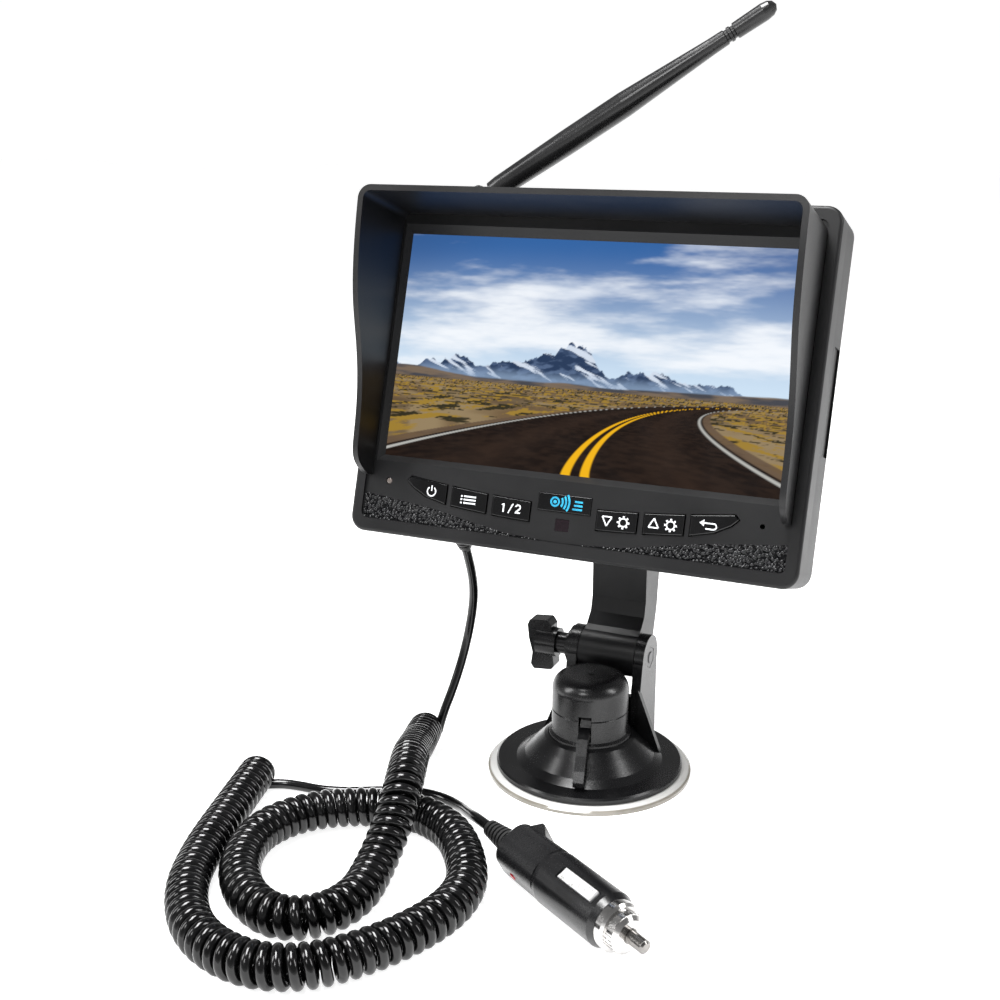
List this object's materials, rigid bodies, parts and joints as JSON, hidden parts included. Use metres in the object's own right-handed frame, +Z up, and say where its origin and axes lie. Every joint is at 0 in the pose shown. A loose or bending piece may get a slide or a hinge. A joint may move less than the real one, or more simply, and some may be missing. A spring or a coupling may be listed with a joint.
{
  "type": "backup camera kit",
  "caption": "Rear-view monitor with sun hood, buttons and swivel antenna, on a tilting arm over a lever-locked suction mount, with a curly 12 V power lead.",
  "frame": {"origin": "centre of the suction cup's face, on the surface that it stands on", "axes": "+Z up, -Y the way the screen faces, +X to the right of the screen as it is watched"},
  "size_m": [0.207, 0.234, 0.2963],
  "materials": {
    "black_plastic": "matt moulded",
    "gloss_plastic": "gloss",
    "hood_plastic": "fine matt",
    "mount_plastic": "satin",
    "screen_glass": "gloss",
    "clear_pvc": "clear gloss",
    "steel": "zinc plated",
    "chrome": "nickel plated",
    "circuit_board": "solder mask",
    "switch_metal": "satin",
    "speaker_cone": "matt",
    "lens_red": "gloss",
    "lens_clear": "gloss",
    "lens_smoke": "gloss",
    "antenna_rubber": "satin",
    "cable_pvc": "gloss",
    "relief_rubber": "matt",
    "plug_plastic": "satin",
    "spring_steel": "bright",
    "fuse_glass": "clear"
  },
  "bodies": {
    "base": {"suction_cup": "clear_pvc", "mount_base": "mount_plastic", "cam_housing": "mount_plastic", "dome_cap": "mount_plastic", "lever_pin": "steel", "stem_spring": "spring_steel", "hinge_nut": "steel", "hinge_washers": "mount_plastic", "cord_lead": "cable_pvc", "cord_curl": "cable_pvc", "cord_tail": "cable_pvc", "plug_relief": "relief_rubber", "plug_shell_front": "plug_plastic", "plug_shell_back": "plug_plastic", "plug_nose_ring": "chrome", "plug_fuse": "fuse_glass", "plug_spring": "spring_steel", "plug_led": "lens_red", "plug_screw": "steel"},
    "head": {"arm": "mount_plastic", "dock_shoe": "mount_plastic", "dock_screws": "steel", "rear_housing": "black_plastic", "front_bezel": "black_plastic", "sun_hood": "hood_plastic", "lcd_panel": "screen_glass", "lcd_frame": "switch_metal", "main_board": "circuit_board", "button_board": "circuit_board", "tact_switches": "switch_metal", "receiver_board": "circuit_board", "speaker": "speaker_cone", "badge": "gloss_plastic", "ir_window": "lens_smoke", "power_led": "lens_clear", "case_screws": "steel", "cord_gland": "relief_rubber", "antenna_socket": "steel"},
    "knob": {"wing_knob": "mount_plastic", "hinge_bolt": "steel"},
    "lever": {"cam_lever": "mount_plastic"},
    "stem": {"pull_stem": "mount_plastic"},
    "antenna_turn": {"antenna_collar": "antenna_rubber", "antenna_pin": "steel"},
    "antenna": {"antenna_mast": "antenna_rubber"},
    "plug_tip": {"plug_pin": "chrome"},
    "plug_left": {"plug_contact_left": "chrome"},
    "plug_right": {"plug_contact_right": "chrome"},
    "button_power": {"button_power": "gloss_plastic"},
    "button_menu": {"button_menu": "gloss_plastic"},
    "button_source": {"button_source": "gloss_plastic"},
    "button_down": {"button_down": "gloss_plastic"},
    "button_up": {"button_up": "gloss_plastic"},
    "button_reverse": {"button_reverse": "gloss_plastic"}
  },
  "joints": [
    {"name": "arm_tilt", "type": "hinge", "parent": "base", "child": "head", "pos_m": [0, 0.0255, 0.041], "axis": [1, 0, 0], "range_deg": [-50, 30], "deforming": ["cord_lead"]},
    {"name": "knob_turn", "type": "hinge", "parent": "base", "child": "knob", "pos_m": [-0.03, 0.0255, 0.041], "axis": [1, 0, 0], "continuous": true},
    {"name": "lever_lock", "type": "hinge", "parent": "base", "child": "lever", "pos_m": [0.0027, -0.01169, 0.0225], "axis": [-0.9744, -0.225, 0], "range_deg": [0, 50]},
    {"name": "stem_pull", "type": "slide", "parent": "base", "child": "stem", "axis": [0, 0, -1], "range_m": [0, 0.0025], "deforming": ["stem_spring"]},
    {"name": "antenna_spin", "type": "hinge", "parent": "head", "child": "antenna_turn", "pos_m": [-0.058, 0.02109, 0.22186], "axis": [0, 0.3057, 0.9521], "continuous": true},
    {"name": "antenna_tilt", "type": "hinge", "parent": "antenna_turn", "child": "antenna", "pos_m": [-0.058, 0.02194, 0.22448], "axis": [0, -0.9521, 0.3057], "range_deg": [-29, 55.5]},
    {"name": "plug_tip_press", "type": "slide", "parent": "base", "child": "plug_tip", "axis": [-0.8499, 0.527, 0], "range_m": [0, 0.003], "stiffness_N_per_m": 900, "springref_m": -0.0015, "deforming": ["plug_spring"]},
    {"name": "plug_left_press", "type": "slide", "parent": "base", "child": "plug_left", "axis": [-0.2392, -0.3858, 0.891], "range_m": [0, 0.0008], "stiffness_N_per_m": 1500, "springref_m": -0.0005},
    {"name": "plug_right_press", "type": "slide", "parent": "base", "child": "plug_right", "axis": [0.2392, 0.3858, -0.891], "range_m": [0, 0.0008], "stiffness_N_per_m": 1500, "springref_m": -0.0005},
    {"name": "button_power_press", "type": "slide", "parent": "head", "child": "button_power", "axis": [0, 0.9521, -0.3057], "range_m": [0, 0.0005], "stiffness_N_per_m": 1500, "springref_m": -0.0003},
    {"name": "button_menu_press", "type": "slide", "parent": "head", "child": "button_menu", "axis": [0, 0.9521, -0.3057], "range_m": [0, 0.0005], "stiffness_N_per_m": 1500, "springref_m": -0.0003},
    {"name": "button_source_press", "type": "slide", "parent": "head", "child": "button_source", "axis": [0, 0.9521, -0.3057], "range_m": [0, 0.0005], "stiffness_N_per_m": 1500, "springref_m": -0.0003},
    {"name": "button_down_press", "type": "slide", "parent": "head", "child": "button_down", "axis": [0, 0.9521, -0.3057], "range_m": [0, 0.0005], "stiffness_N_per_m": 1500, "springref_m": -0.0003},
    {"name": "button_up_press", "type": "slide", "parent": "head", "child": "button_up", "axis": [0, 0.9521, -0.3057], "range_m": [0, 0.0005], "stiffness_N_per_m": 1500, "springref_m": -0.0003},
    {"name": "button_reverse_press", "type": "slide", "parent": "head", "child": "button_reverse", "axis": [0, 0.9521, -0.3057], "range_m": [0, 0.0005], "stiffness_N_per_m": 1500, "springref_m": -0.0003}
  ],
  "couplings": [
    {"joint": "lever_lock", "follows": "stem_pull", "rad_per_m": 349.07}
  ]
}
